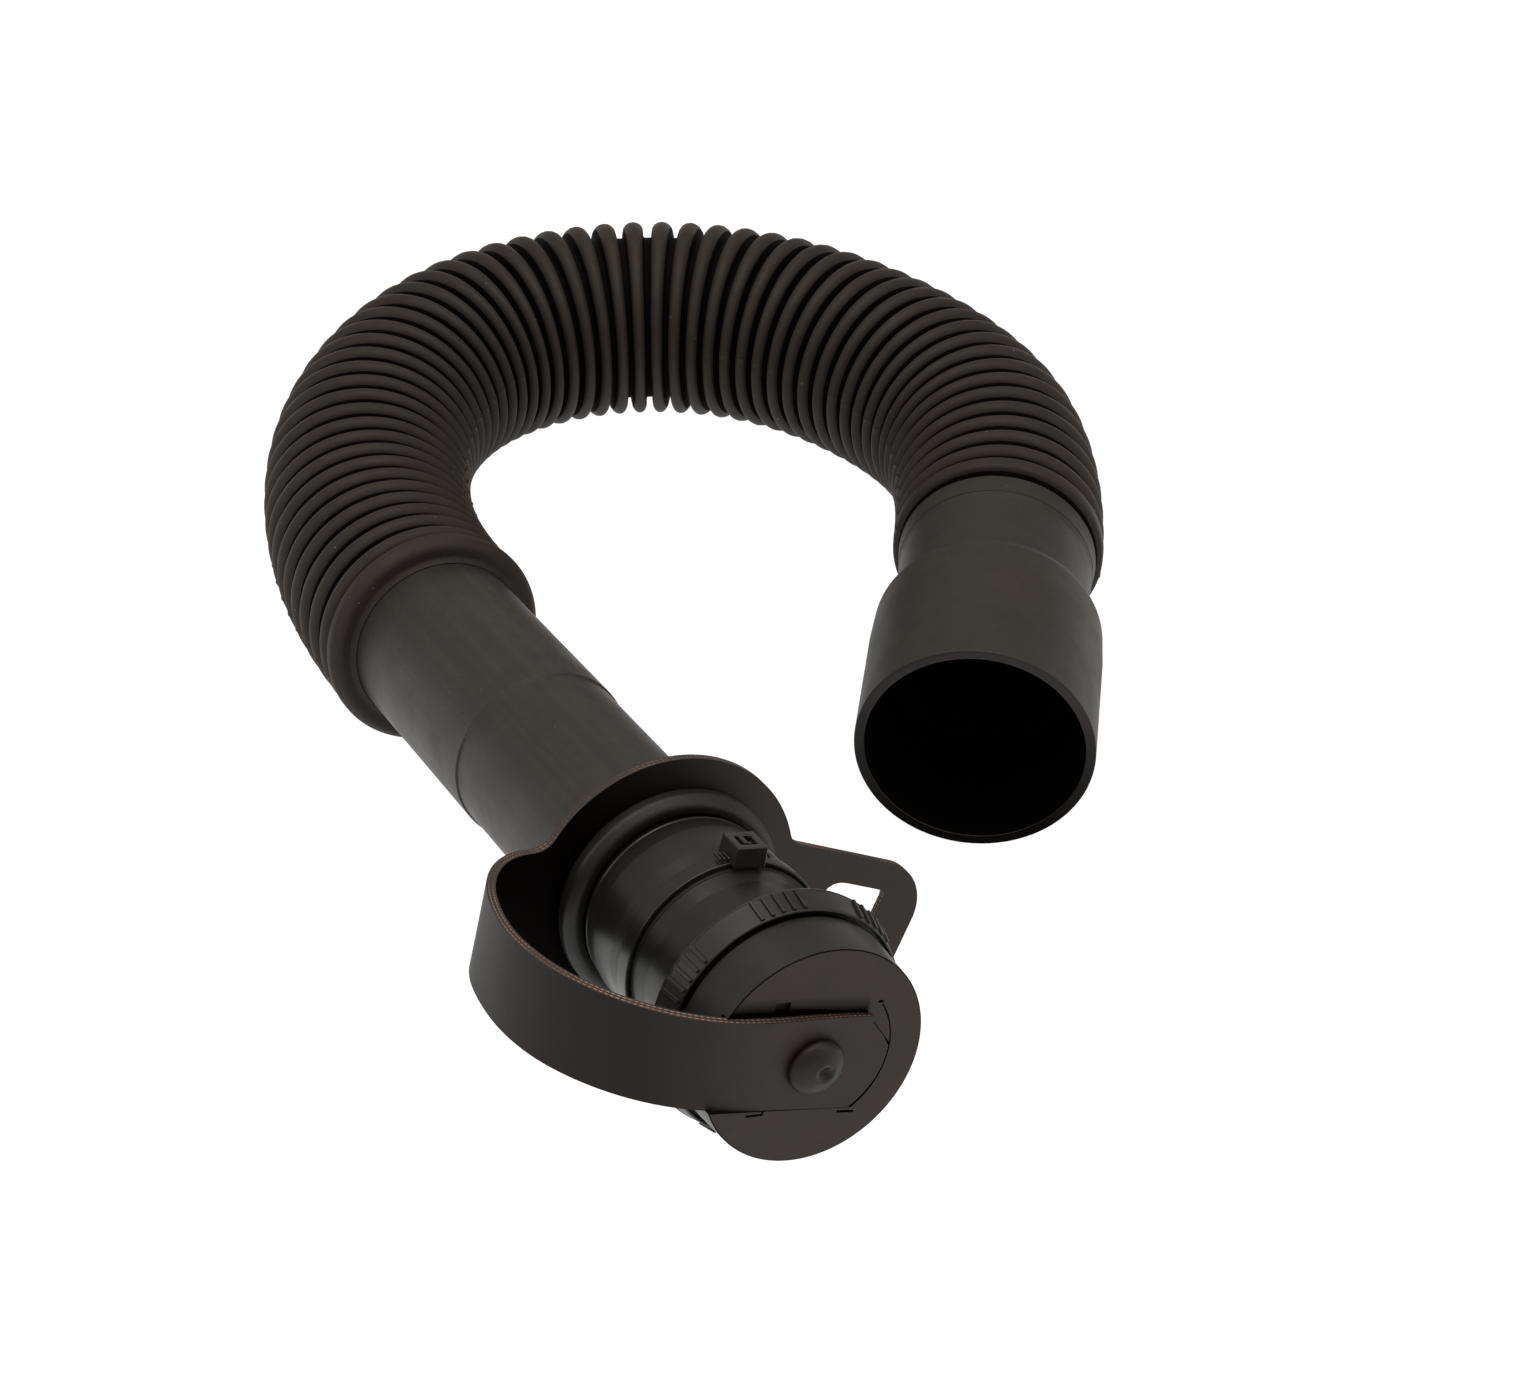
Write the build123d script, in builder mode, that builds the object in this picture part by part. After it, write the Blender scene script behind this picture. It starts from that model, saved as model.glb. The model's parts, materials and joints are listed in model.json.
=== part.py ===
from build123d import *
import os
from math import cos, pi, radians, sin, tan

os.makedirs("parts", exist_ok=True)

# A wide corrugated rubber hose, bent into a C that lies on the floor.
# One end is a flared socket and the other is a smooth spout with a strap-tethered screw cap.
# Millimetres, +Z up, floor at Z = 0, the socket opens towards -Y.

# ---- hose ----
hose_crest_radius = 31.0
hose_bore_radius = 26.0

# ---- spout axis: it starts where the hose ends and rises gently towards the cap ----
spout_start = Vector(-60.5, -5.7, 36.2)
spout_azimuth = -55.55
spout_rise = 6.37
first_run = 44.0

# ---- socket end, measured along the socket from the last hose ring ----
band_radius = 28.8
band_inner_radius = 26.8
band_start = 1.0
band_length = 7.5
cuff_radius = 27.9
cuff_bore_radius = 25.0
socket_radius = 33.0
socket_bore_radius = 30.2
shoulder_station = 34.8
shoulder_radius = 30.4
shoulder_rise = 1.6
shoulder_length = 8.0
rim_chamfer = 0.8
rim_bore_chamfer = 0.6
stop_taper_length = 4.0
socket_stop_station = 50.0
socket_length = 93.15
socket_axis_height = 33.0

# ---- spout tube, measured along the spout from its start ----
end_ring_radius = 31.4
end_ring_length = 8.0
end_ring_crest_start = 1.2
end_ring_crest_end = 3.4
end_ring_front = 6.6
end_ring_shoulder = 5.4
end_ring_shoulder_radius = 30.0
end_ring_lip = 0.7
tube_entry = 2.0
tube_radius = 24.8
tube_step_station = 78.0
tube_step_length = 1.4
tube_front_radius = 24.2
tube_bore_radius = 21.6
bead_radius = 29.6
bead_side_radius = 25.8
bead_rear = 151.6
bead_front = 159.2
tube_lip_station = 156.2
tube_lip_radius = 23.2

# ---- clamped sleeve and tie ----
sleeve_tail_station = 140.0
sleeve_tail_bore = 19.9
sleeve_belly_radius = 25.9
sleeve_belly_station = 173.2
tie_seat_radius = 25.4
tie_seat_rear = 180.6
tie_thickness = 1.3
tie_width = 4.8
tie_station = 181.2
sleeve_front_station = 186.4
tie_head_angle = 71.0
tie_head_size = 8.6
tie_head_corner = 1.0
tie_head_height = 5.4
tie_head_gap = 0.6
tie_window = 4.6
tie_window_depth = 2.5

# ---- rigid neck ----
spigot_radius = 22.5
neck_rear_station = 159.6
neck_shoulder_station = 187.0
neck_radius = 24.6
thread_station = 209.1
thread_radius = 22.6
neck_rim_station = 224.2
neck_bore_radius = 18.5

# ---- cap ----
grip_rear_station = 209.4
grip_front_station = 216.9
grip_rear_radius = 32.4
grip_front_radius = 30.6
grip_rear_chamfer = 0.6
grip_cavity_radius = 30.0
grip_floor_station = 211.3
thread_bore_radius = 22.9
thread_sleeve_radius = 25.2
thread_sleeve_front = 217.5
rib_groups = 7
ribs_in_group = 5
rib_spacing = 5.2
rib_first_group_angle = 86.5
rib_height = 0.6
rib_width = 0.9
rib_rear_station = 210.3
rib_front_station = 216.4
rib_root_depth = 0.5
disc_radius = 28.0
disc_base_radius = 29.0
disc_base_station = 217.6
disc_edge_chamfer = 0.5
disc_groove_radius = 27.7
disc_cup_radius = 25.5
disc_flange_radius = 29.6
disc_flange_rear = 211.6
disc_flange_front = 213.0
disc_inner_station = 226.0
face_station = 231.6
retainer_rear = 213.3
retainer_front = 214.5
retainer_bore = 28.3
gasket_bore = 18.8
gasket_radius = 24.9

# ---- strap ----
strap_thickness = 2.3
strap_tilt = 19.0
strap_half_width = 12.5
strap_offset = -1.7
strap_end_radius = 19.6
strap_ring_radius = 36.5
strap_ring_front = 151.4
strap_hole_radius = 24.4
band_start_reach = 30.0
band_leave = 52.5
band_belly = 61.0
band_belly_station = 188.0
band_return = 47.0
band_bends = (20.0, 45.0, 28.0)
band_overrun = 4.0
tab_tilt = 30.0
tab_reach = 79.2
tab_half_width = 19.3
tab_corner_radius = 9.0
tab_hole_start = 47.0
tab_hole_end = 67.0
tab_hole_half_width = 11.4
tab_hole_inner_corner = 6.0
tab_hole_outer_corner = 2.5
recess_half_width = 14.3
recess_depth = 2.5
recess_end_radius = 22.0
recess_reach = 40.0

# ---- rivet ----
rivet_dome_radius = 7.3
rivet_rim_height = 0.8
rivet_shoulder_radius = 5.5
rivet_shoulder_height = 2.8
rivet_dome_height = 4.6
rivet_dimple_radius = 2.0
rivet_dimple_depth = 0.8
rivet_stem_radius = 2.5
rivet_strap_hole_radius = 3.0
washer_radius = 7.0
washer_thickness = 1.4
rivet_tail_radius = 4.0
rivet_tail_length = 1.2

# ---- directions of the spout ----
rise = radians(spout_rise)
azimuth = radians(spout_azimuth)
spout_direction = Vector(cos(rise) * cos(azimuth), cos(rise) * sin(azimuth), sin(rise))
side_direction = Vector(-sin(azimuth), cos(azimuth), 0)
up_direction = spout_direction.cross(side_direction)
spout_axis = Axis(spout_start, spout_direction)
# Local X of this plane is the distance from the axis and local Y is the station along it.
profile_plane = Plane(origin=spout_start, x_dir=side_direction,
                      z_dir=side_direction.cross(spout_direction))


def across(station, tilt=0.0):
    """Plane square to the spout axis, facing the cap end, its X turned down by tilt degrees."""
    turned = side_direction * cos(radians(tilt)) - up_direction * sin(radians(tilt))
    return Plane(origin=spout_start + spout_direction * station,
                 x_dir=turned, z_dir=spout_direction)


# ---- corrugated hose: straight runs joined by tangent arcs ----
first_corner = spout_start - spout_direction * first_run
hose_end = Vector(96.4, 55.7, socket_axis_height)
route = [
    spout_start,
    first_corner,
    Vector(-102.0, 98.5, 31.0),
    Vector(-84.8, 155.8, 31.0),
    Vector(-37.4, 186.3, 31.0),
    Vector(18.7, 183.9, 31.0),
    Vector(70.5, 148.1, 31.6),
    Vector(96.4, 100.4, socket_axis_height),
    hose_end,
]
runs = [route[i + 1] - route[i] for i in range(len(route) - 1)]
turns = [runs[i].get_angle(runs[i + 1]) for i in range(len(runs) - 1)]
arc_share = 0.45
radii = [
    arc_share * min(runs[i].length, runs[i + 1].length) / tan(radians(turns[i]) / 2)
    for i in range(len(turns))
]
print("hose arc radii:", [round(r, 1) for r in radii])

with BuildPart() as corrugated_hose:
    with BuildLine() as hose_line:
        FilletPolyline(*route, radius=radii)
    with BuildSketch(Plane(origin=spout_start, z_dir=-spout_direction)):
        Circle(hose_crest_radius)
        Circle(hose_bore_radius, mode=Mode.SUBTRACT)
    sweep(path=hose_line.wires()[0])
hose_length = hose_line.wires()[0].length
hose_section = pi * (hose_crest_radius**2 - hose_bore_radius**2)
print("hose length:", round(hose_length, 1),
      "volume ratio:", round(corrugated_hose.part.volume / (hose_section * hose_length), 4))

# ---- socket end: profiles are drawn as distance from the axis and station ----
socket_axis = Axis(hose_end, (0, -1, 0))
socket_plane = Plane(origin=hose_end, x_dir=(1, 0, 0), z_dir=(0, 0, -1))

with BuildPart() as socket_band:
    with BuildSketch(socket_plane):
        with BuildLine():
            Polyline(
                (hose_bore_radius, 0),
                (band_inner_radius, 0),
                (band_inner_radius, band_start),
                (band_radius, band_start),
                (band_radius, band_length),
                (hose_bore_radius, band_length),
                close=True,
            )
        make_face()
    revolve(axis=socket_axis)

with BuildPart() as socket_cuff:
    with BuildSketch(socket_plane):
        with BuildLine():
            Polyline(
                (cuff_bore_radius, band_length),
                (cuff_radius, band_length),
                (cuff_radius, shoulder_station),
                (shoulder_radius, shoulder_station + shoulder_rise),
                (socket_radius, shoulder_station + shoulder_length),
                (socket_radius, socket_length - rim_chamfer),
                (socket_radius - rim_chamfer, socket_length),
                (socket_bore_radius + rim_bore_chamfer, socket_length),
                (socket_bore_radius, socket_length - rim_bore_chamfer),
                (socket_bore_radius, socket_stop_station),
                (cuff_bore_radius, socket_stop_station - stop_taper_length),
                close=True,
            )
        make_face()
    revolve(axis=socket_axis)

# ---- spout end ----
with BuildPart() as hose_end_ring:
    with BuildSketch(profile_plane):
        with BuildLine():
            Polyline(
                (hose_bore_radius, 0),
                (end_ring_radius - end_ring_crest_start, 0),
                (end_ring_radius, end_ring_crest_start),
                (end_ring_radius, end_ring_crest_end),
                (end_ring_shoulder_radius, end_ring_shoulder),
                (tube_radius + end_ring_lip, end_ring_front),
                (tube_radius + end_ring_lip, end_ring_length),
                (tube_radius, end_ring_length),
                (tube_radius, tube_entry),
                (hose_bore_radius, tube_entry),
                close=True,
            )
        make_face()
    revolve(axis=spout_axis)

with BuildPart() as spout_tube:
    with BuildSketch(profile_plane):
        with BuildLine():
            Polyline(
                (tube_lip_radius, tube_lip_station),
                (tube_bore_radius, tube_lip_station),
                (tube_bore_radius, tube_entry),
                (tube_radius, tube_entry),
                (tube_radius, tube_step_station),
                (tube_front_radius, tube_step_station + tube_step_length),
                (tube_front_radius, bead_rear),
                (bead_side_radius, bead_rear),
            )
            ThreePointArc(
                (bead_side_radius, bead_rear),
                (bead_radius, (bead_rear + bead_front) / 2),
                (bead_side_radius, bead_front),
            )
            Line((bead_side_radius, bead_front), (tube_lip_radius, tube_lip_station))
        make_face()
    revolve(axis=spout_axis)

with BuildPart() as spout_sleeve:
    with BuildSketch(profile_plane):
        with BuildLine():
            Polyline(
                (tie_seat_radius, tie_seat_rear),
                (tie_seat_radius, sleeve_front_station),
                (spigot_radius, sleeve_front_station),
                (spigot_radius, neck_rear_station),
                (sleeve_tail_bore, neck_rear_station),
                (sleeve_tail_bore, sleeve_tail_station),
                (tube_bore_radius, sleeve_tail_station),
                (tube_bore_radius, tube_lip_station),
                (tube_lip_radius, tube_lip_station),
            )
            ThreePointArc(
                (tube_lip_radius, tube_lip_station),
                (sleeve_belly_radius, sleeve_belly_station),
                (tie_seat_radius, tie_seat_rear),
            )
        make_face()
    revolve(axis=spout_axis)

with BuildPart() as spout_neck:
    with BuildSketch(profile_plane):
        with BuildLine():
            Polyline(
                (neck_bore_radius, neck_rear_station),
                (spigot_radius, neck_rear_station),
                (spigot_radius, neck_shoulder_station),
                (neck_radius, neck_shoulder_station),
                (neck_radius, thread_station),
                (thread_radius, thread_station),
                (thread_radius, neck_rim_station),
                (neck_bore_radius, neck_rim_station),
                close=True,
            )
        make_face()
    revolve(axis=spout_axis)

tie_middle = tie_station + tie_width / 2
tie_turn = radians(tie_head_angle)
head_direction = side_direction * cos(tie_turn) + up_direction * sin(tie_turn)
head_plane = Plane(
    origin=spout_start + spout_direction * tie_middle + head_direction * tie_seat_radius,
    x_dir=spout_direction,
    z_dir=head_direction,
)
with BuildPart() as cable_tie:
    with BuildSketch(profile_plane):
        with Locations((tie_seat_radius + tie_thickness / 2, tie_middle)):
            Rectangle(tie_thickness, tie_width)
    revolve(axis=spout_axis)
    with BuildSketch(head_plane.offset(tie_head_gap)):
        RectangleRounded(tie_head_size, tie_head_size, tie_head_corner)
    extrude(amount=tie_head_height)
    with BuildSketch(head_plane.offset(tie_head_gap + tie_head_height)):
        Rectangle(tie_window, tie_window)
    extrude(amount=-tie_window_depth, mode=Mode.SUBTRACT)

# ---- cap ----
with BuildPart() as grip_ring:
    with BuildSketch(profile_plane):
        with BuildLine():
            Polyline(
                (thread_bore_radius, grip_rear_station),
                (grip_rear_radius - grip_rear_chamfer, grip_rear_station),
                (grip_rear_radius, grip_rear_station + grip_rear_chamfer),
                (grip_front_radius, grip_front_station),
                (grip_cavity_radius, grip_front_station),
                (grip_cavity_radius, grip_floor_station),
                (thread_sleeve_radius, grip_floor_station),
                (thread_sleeve_radius, thread_sleeve_front),
                (thread_bore_radius, thread_sleeve_front),
                close=True,
            )
        make_face()
    revolve(axis=spout_axis)
    for group in range(rib_groups):
        for rib in range(ribs_in_group):
            turn = rib_first_group_angle + group * 360 / rib_groups
            turn = radians(turn + (rib - (ribs_in_group - 1) / 2) * rib_spacing)
            outward = side_direction * cos(turn) + up_direction * sin(turn)
            rib_plane = Plane(
                origin=spout_start,
                x_dir=outward,
                z_dir=outward.cross(spout_direction),
            )
            with BuildSketch(rib_plane):
                with BuildLine():
                    Polyline(
                        (grip_rear_radius - rib_root_depth, rib_rear_station),
                        (grip_rear_radius + rib_height, rib_rear_station),
                        (grip_front_radius + rib_height, rib_front_station),
                        (grip_front_radius - rib_root_depth, rib_front_station),
                        close=True,
                    )
                make_face()
            extrude(amount=rib_width / 2, both=True)

with BuildPart() as retaining_ring:
    with BuildSketch(across(retainer_rear)):
        Circle(grip_cavity_radius)
        Circle(retainer_bore, mode=Mode.SUBTRACT)
    extrude(amount=retainer_front - retainer_rear)

face_plane = across(face_station, strap_tilt)
with BuildPart() as cap_disc:
    with BuildSketch(profile_plane):
        with BuildLine():
            Polyline(
                (0, disc_inner_station),
                (disc_cup_radius, disc_inner_station),
                (disc_cup_radius, disc_flange_rear),
                (disc_flange_radius, disc_flange_rear),
                (disc_flange_radius, disc_flange_front),
                (disc_groove_radius, disc_flange_front),
                (disc_groove_radius, grip_front_station),
                (disc_base_radius, disc_base_station),
                (disc_radius, face_station - disc_edge_chamfer),
                (disc_radius - disc_edge_chamfer, face_station),
                (0, face_station),
                close=True,
            )
        make_face()
    revolve(axis=spout_axis)
    with BuildSketch(face_plane):
        Circle(recess_end_radius)
        with Locations((-recess_reach / 2, 0)):
            Rectangle(recess_reach, 2 * recess_reach)
        Rectangle(4 * recess_reach, 2 * recess_half_width, mode=Mode.INTERSECT)
    extrude(amount=-recess_depth, mode=Mode.SUBTRACT)
    with BuildSketch(face_plane):
        with Locations((0, strap_offset)):
            Circle(rivet_stem_radius)
    extrude(amount=2 * (disc_inner_station - face_station), mode=Mode.SUBTRACT)

with BuildPart() as cap_gasket:
    with BuildSketch(across(neck_rim_station)):
        Circle(gasket_radius)
        Circle(gasket_bore, mode=Mode.SUBTRACT)
    extrude(amount=disc_inner_station - neck_rim_station)

# ---- rivet: a domed head on the strap, a stem, and a closed tail behind the washer ----
tilt_turn = radians(strap_tilt)
strap_across = side_direction * sin(tilt_turn) + up_direction * cos(tilt_turn)
rivet_start = spout_start + strap_across * strap_offset
rivet_plane = Plane(origin=rivet_start, x_dir=side_direction,
                    z_dir=side_direction.cross(spout_direction))
washer_rear = disc_inner_station - washer_thickness
dome_top = face_station + rivet_dome_height
dome_edge = face_station + rivet_rim_height
with BuildPart() as strap_rivet:
    with BuildSketch(rivet_plane):
        with BuildLine():
            Polyline(
                (0, dome_top - rivet_dimple_depth),
                (0, washer_rear - rivet_tail_length),
                (rivet_tail_radius, washer_rear - rivet_tail_length),
                (rivet_tail_radius, washer_rear),
                (rivet_stem_radius, washer_rear),
                (rivet_stem_radius, face_station),
                (rivet_dome_radius, face_station),
                (rivet_dome_radius, dome_edge),
            )
            ThreePointArc(
                (rivet_dome_radius, dome_edge),
                (rivet_shoulder_radius, face_station + rivet_shoulder_height),
                (rivet_dimple_radius, dome_top),
            )
            Line((rivet_dimple_radius, dome_top), (0, dome_top - rivet_dimple_depth))
        make_face()
    revolve(axis=Axis(rivet_start, spout_direction))

with BuildPart() as rivet_washer:
    with BuildSketch(across(disc_inner_station - washer_thickness, strap_tilt)):
        with Locations((0, strap_offset)):
            Circle(washer_radius)
            Circle(rivet_stem_radius, mode=Mode.SUBTRACT)
    extrude(amount=washer_thickness)

# ---- strap: a flat ring and tab behind the bead, and a band looped round to the cap face ----
ring_plane = across(strap_ring_front, tab_tilt)
band_side = up_direction * sin(tilt_turn) - side_direction * cos(tilt_turn)
band_plane = Plane(
    origin=spout_start + strap_across * strap_offset,
    x_dir=band_side,
    z_dir=band_side.cross(spout_direction),
)
ring_middle = strap_ring_front - strap_thickness / 2
end_middle = face_station - strap_thickness / 2
with BuildPart() as tether_strap:
    with BuildSketch(ring_plane) as strap_flat:
        with Locations((tab_reach / 2, 0)):
            Rectangle(tab_reach, 2 * tab_half_width)
        fillet(strap_flat.vertices().group_by(Axis.X)[-1], radius=tab_corner_radius)
        Circle(strap_ring_radius)
        with Locations(((tab_hole_start + tab_hole_end) / 2, 0)):
            Rectangle(tab_hole_end - tab_hole_start, 2 * tab_hole_half_width,
                      mode=Mode.SUBTRACT)
        corners = strap_flat.vertices()
        fillet(corners.filter_by_position(Axis.X, tab_hole_start, tab_hole_start, (True, True)),
               radius=tab_hole_inner_corner)
        fillet(corners.filter_by_position(Axis.X, tab_hole_end, tab_hole_end, (True, True)),
               radius=tab_hole_outer_corner)
    extrude(amount=-strap_thickness)
    with BuildSketch(band_plane):
        with BuildLine():
            FilletPolyline(
                (band_start_reach, ring_middle),
                (band_leave, ring_middle),
                (band_belly, band_belly_station),
                (band_return, end_middle),
                (-strap_end_radius - band_overrun, end_middle),
                radius=band_bends,
            )
        trace(line_width=strap_thickness)
    extrude(amount=strap_half_width, both=True)
    with BuildSketch(ring_plane):
        Circle(strap_hole_radius)
    extrude(amount=-strap_thickness, mode=Mode.SUBTRACT)
    with BuildSketch(face_plane.offset(-strap_thickness)):
        with Locations((recess_reach / 2, 0)):
            Rectangle(recess_reach, 2 * recess_reach)
        Circle(strap_end_radius, mode=Mode.SUBTRACT)
    extrude(amount=strap_thickness, mode=Mode.SUBTRACT)
    with BuildSketch(face_plane):
        with Locations((0, strap_offset)):
            Circle(rivet_strap_hole_radius)
    extrude(amount=-strap_thickness, mode=Mode.SUBTRACT)

pieces = {
    "corrugated_hose": corrugated_hose,
    "socket_band": socket_band,
    "socket_cuff": socket_cuff,
    "hose_end_ring": hose_end_ring,
    "spout_tube": spout_tube,
    "spout_sleeve": spout_sleeve,
    "spout_neck": spout_neck,
    "cable_tie": cable_tie,
    "grip_ring": grip_ring,
    "retaining_ring": retaining_ring,
    "cap_disc": cap_disc,
    "cap_gasket": cap_gasket,
    "strap_rivet": strap_rivet,
    "rivet_washer": rivet_washer,
    "tether_strap": tether_strap,
}
for piece_name, piece in pieces.items():
    piece.part.label = piece_name
    export_step(piece.part, f"parts/{piece_name}.step")

box = Compound(children=[piece.part for piece in pieces.values()]).bounding_box()
print("box:", box.min, box.max)
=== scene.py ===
import json
from math import atan2, ceil, cos, exp, pi, radians, sin, tan

import bmesh
import bpy
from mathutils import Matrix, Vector
from mathutils.geometry import delaunay_2d_cdt


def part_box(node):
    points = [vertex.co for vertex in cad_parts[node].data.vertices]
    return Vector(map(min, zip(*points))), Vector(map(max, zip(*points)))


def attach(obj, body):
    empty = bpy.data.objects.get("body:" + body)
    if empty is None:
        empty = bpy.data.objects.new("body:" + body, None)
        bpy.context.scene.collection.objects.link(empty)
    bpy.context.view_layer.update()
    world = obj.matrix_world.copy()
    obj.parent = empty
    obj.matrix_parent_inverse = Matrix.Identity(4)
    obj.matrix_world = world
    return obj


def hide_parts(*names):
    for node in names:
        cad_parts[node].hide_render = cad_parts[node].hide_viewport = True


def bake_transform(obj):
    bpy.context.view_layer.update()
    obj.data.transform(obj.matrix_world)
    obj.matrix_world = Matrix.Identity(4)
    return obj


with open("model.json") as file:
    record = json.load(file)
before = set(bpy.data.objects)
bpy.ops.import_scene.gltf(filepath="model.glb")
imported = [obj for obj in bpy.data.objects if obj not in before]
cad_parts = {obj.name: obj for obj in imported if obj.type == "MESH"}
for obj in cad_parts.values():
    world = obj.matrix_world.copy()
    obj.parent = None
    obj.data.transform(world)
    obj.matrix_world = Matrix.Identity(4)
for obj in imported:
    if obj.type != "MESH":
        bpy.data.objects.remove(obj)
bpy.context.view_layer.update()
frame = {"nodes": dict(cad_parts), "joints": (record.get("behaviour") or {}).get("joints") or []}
MM = 0.001


# ---- axes of the two stiff ends ----

class Line:
    """A straight axis with the horizontal side direction and the up direction that belong to it."""

    def __init__(self, origin, along):
        self.origin = Vector(origin)
        self.along = Vector(along).normalized()
        self.side = Vector((0, 0, 1)).cross(self.along).normalized()
        self.up = self.along.cross(self.side)

    def outward(self, turn):
        """Direction away from the axis; the turn runs from side towards up."""
        return self.side * cos(turn) + self.up * sin(turn)

    def at(self, station, radius=0.0, turn=0.0):
        """Point in metres; station and radius are in millimetres and turn is in radians."""
        return self.origin + (self.along * station + self.outward(turn) * radius) * MM


joints = {joint["name"]: joint for joint in frame["joints"]}
CAP_JOINT_STATION = 214.0
cap_axis = Vector(joints["cap_turn"]["axis"]).normalized()
cap_point = Vector(joints["cap_turn"]["pos_m"])
spout = Line(cap_point - cap_axis * CAP_JOINT_STATION * MM, cap_axis)
band_low, band_high = (Vector(corner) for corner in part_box("socket_band"))
band_middle = (band_low + band_high) / 2
socket = Line((band_middle.x, band_high.y, band_middle.z), (0, -1, 0))

# ---- camera ----
LENS_MM = 80.06
SENSOR_MM = 36.0
CAMERA_AT = Vector((0.12845, -0.77487, 0.59845))
CAMERA_TARGET = Vector((0.0325, 0.0242, 0.0))


def add_camera():
    data = bpy.data.cameras.new("camera")
    data.lens = LENS_MM
    data.sensor_width = SENSOR_MM
    data.sensor_fit = "HORIZONTAL"
    camera = bpy.data.objects.new("camera", data)
    camera.location = CAMERA_AT
    camera.rotation_euler = (CAMERA_TARGET - CAMERA_AT).to_track_quat("-Z", "Y").to_euler()
    bpy.context.scene.collection.objects.link(camera)
    bpy.context.scene.camera = camera


add_camera()


# ---- mesh helpers ----
CORNER_STEPS = 5
ROUND = 144
FINE_ROUND = 192


def rounded(corners):
    """Closed outline of (x, y, corner radius) corners as plain points, the corners really round."""
    points = []
    for index, (x, y, radius) in enumerate(corners):
        here = Vector((x, y))
        if radius == 0:
            points.append(here)
            continue
        before = (Vector(corners[index - 1][:2]) - here).normalized()
        after = (Vector(corners[(index + 1) % len(corners)][:2]) - here).normalized()
        reach = radius / tan(before.angle(after) / 2)
        start = here + before * reach
        end = here + after * reach
        for step in range(CORNER_STEPS + 1):
            share = step / CORNER_STEPS
            points.append(start * (1 - share) ** 2 + here * 2 * share * (1 - share) + end * share**2)
    return points


def new_object(name, mesh, material, smooth=True):
    """Links a mesh as an object with one material, smooth unless told otherwise."""
    for polygon in mesh.polygons:
        polygon.use_smooth = smooth
    mesh.materials.append(material)
    piece = bpy.data.objects.new(name, mesh)
    bpy.context.scene.collection.objects.link(piece)
    return piece


def finish_mesh(build, name, material):
    """The object made of a finished bmesh, its faces turned outwards."""
    bmesh.ops.recalc_face_normals(build, faces=build.faces)
    mesh = bpy.data.meshes.new(name)
    build.to_mesh(mesh)
    build.free()
    return new_object(name, mesh, material)


def quads_between(build, first, second):
    """Faces between two closed loops of vertices, in the order of the loops."""
    count = len(first)
    return [build.faces.new((first[index], first[(index + 1) % count],
                             second[(index + 1) % count], second[index]))
            for index in range(count)]


def keep_faces_flat(piece):
    modifier = piece.modifiers.new("flat_faces", "WEIGHTED_NORMAL")
    modifier.weight = 80
    modifier.keep_sharp = True


def revolve_mesh(line, outline, segments=ROUND, shape=None):
    """bmesh of an outline of (radius, station) points turned round a line.

    shape(radius, station, turn) may return a changed (radius, station).
    """
    build = bmesh.new()
    rings = []
    for radius, station in outline:
        if radius < 1e-6:
            rings.append([build.verts.new(line.at(station))])
            continue
        ring = []
        for index in range(segments):
            turn = 2 * pi * index / segments
            r, s = shape(radius, station, turn) if shape else (radius, station)
            ring.append(build.verts.new(line.at(s, r, turn)))
        rings.append(ring)
    for index, ring in enumerate(rings):
        following = rings[(index + 1) % len(rings)]
        if len(ring) == 1 and len(following) == 1:
            continue
        for side in range(segments):
            a = ring[side % len(ring)]
            b = ring[(side + 1) % len(ring)]
            c = following[(side + 1) % len(following)]
            d = following[side % len(following)]
            corners = []
            for vertex in (a, b, c, d):
                if vertex not in corners:
                    corners.append(vertex)
            build.faces.new(corners)
    return build


def revolve(name, line, corners, material, segments=ROUND, shape=None, flat=True):
    """A turned piece from rounded corners."""
    piece = finish_mesh(revolve_mesh(line, rounded(corners), segments, shape), name, material)
    if flat:
        keep_faces_flat(piece)
    return piece


def dress(piece, body, node):
    """The piece takes the place of a CAD node and moves with its body."""
    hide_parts(node)
    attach(piece, body)


# ---- materials ----
GRAIN_SCALE = 1400.0
STREAK_SCALE = 420.0
STREAK_STRETCH = 9.0
DUST_COLOUR = (0.22, 0.20, 0.18)
DEEP_SHADE = (0.0012, 0.0008, 0.0006)

def link(tree, source, target):
    tree.links.new(source, target)


def fill(node, **values):
    """Sets a node's inputs; an underscore in a word here is a space in the input's name."""
    for word, value in values.items():
        node.inputs[word.replace("_", " ")].default_value = value


def base_material(name):
    material = bpy.data.materials.new(name)
    material.use_nodes = True
    tree = material.node_tree
    tree.nodes.clear()
    output = tree.nodes.new("ShaderNodeOutputMaterial")
    shader = tree.nodes.new("ShaderNodeBsdfPrincipled")
    link(tree, shader.outputs["BSDF"], output.inputs["Surface"])
    return material, tree, shader


def noise(tree, coordinates, scale, detail=4.0, roughness=0.55):
    node = tree.nodes.new("ShaderNodeTexNoise")
    fill(node, Scale=scale, Detail=detail, Roughness=roughness)
    link(tree, coordinates, node.inputs["Vector"])
    return node.outputs["Fac"]


def ramp(tree, value, stops):
    node = tree.nodes.new("ShaderNodeValToRGB")
    ends = node.color_ramp.elements
    while len(ends) < len(stops):
        ends.new(0.5)
    for element, (place, colour) in zip(ends, stops):
        element.position = place
        element.color = (*colour, 1.0)
    link(tree, value, node.inputs["Fac"])
    return node.outputs["Color"]


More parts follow.
